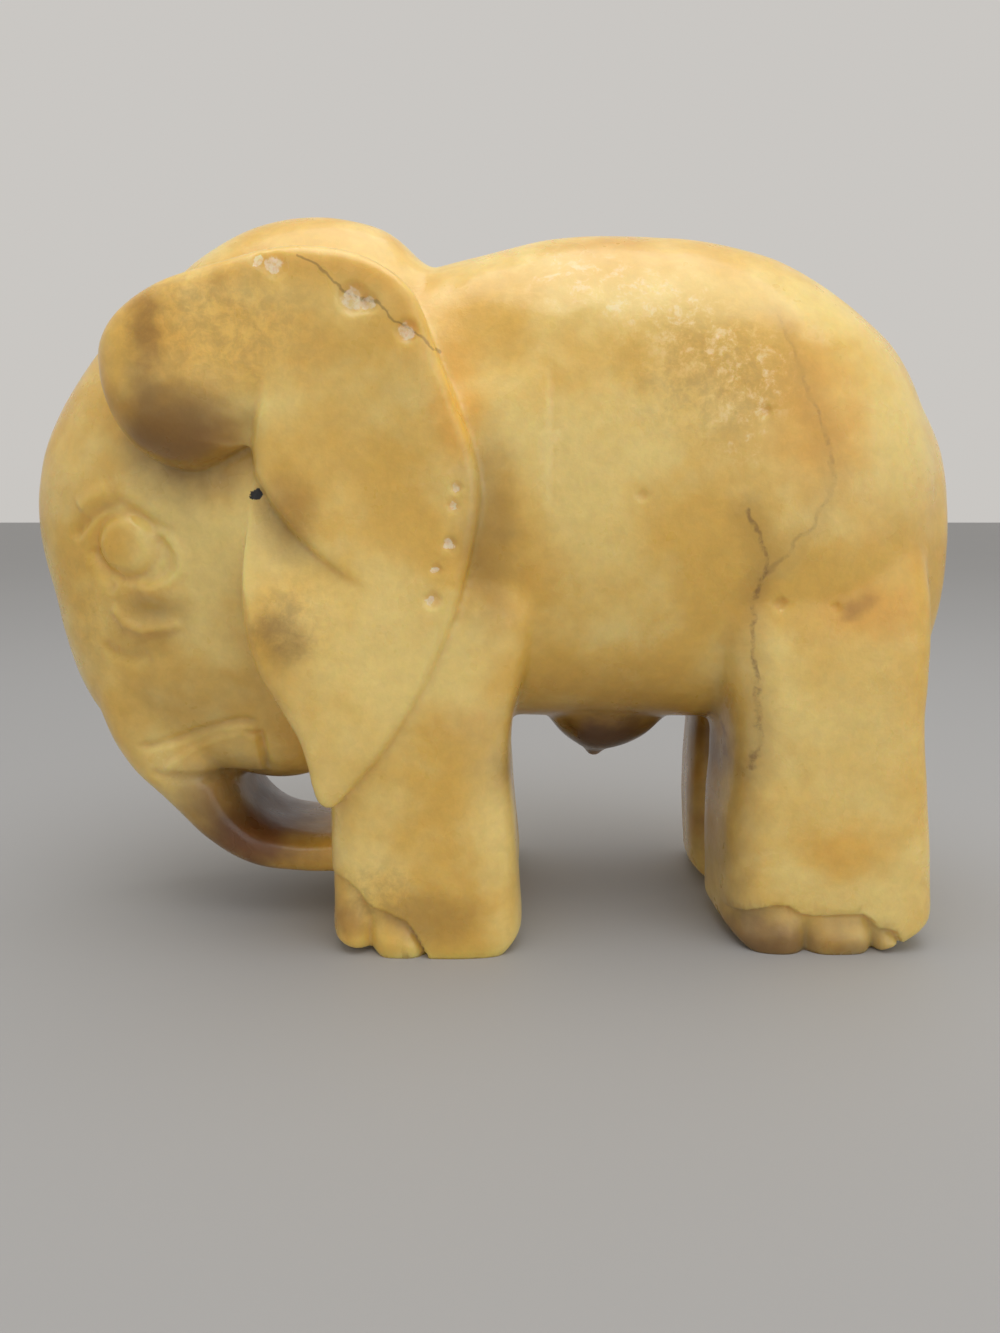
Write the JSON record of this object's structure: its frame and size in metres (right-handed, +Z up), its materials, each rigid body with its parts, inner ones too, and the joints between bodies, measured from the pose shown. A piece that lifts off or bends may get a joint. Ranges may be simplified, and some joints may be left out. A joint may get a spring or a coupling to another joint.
{
  "type": "elephant statuette",
  "caption": "Carved stone elephant standing square on short column legs, head lowered, trunk curled back under the chin to the front legs, large flat ears with a folded lobe.",
  "frame": {"origin": "middle of the figure's box in plan, on the surface it stands on", "axes": "-X towards the brow, +X towards the tail, -Y towards the elephant's left side, +Z up"},
  "size_m": [0.19, 0.072, 0.1455],
  "materials": {
    "alabaster": "hand polished honey-coloured alabaster, waxy and slightly translucent, with brown veins and white crystal patches"
  },
  "bodies": {
    "root": {"elephant": "alabaster"}
  },
  "joints": []
}
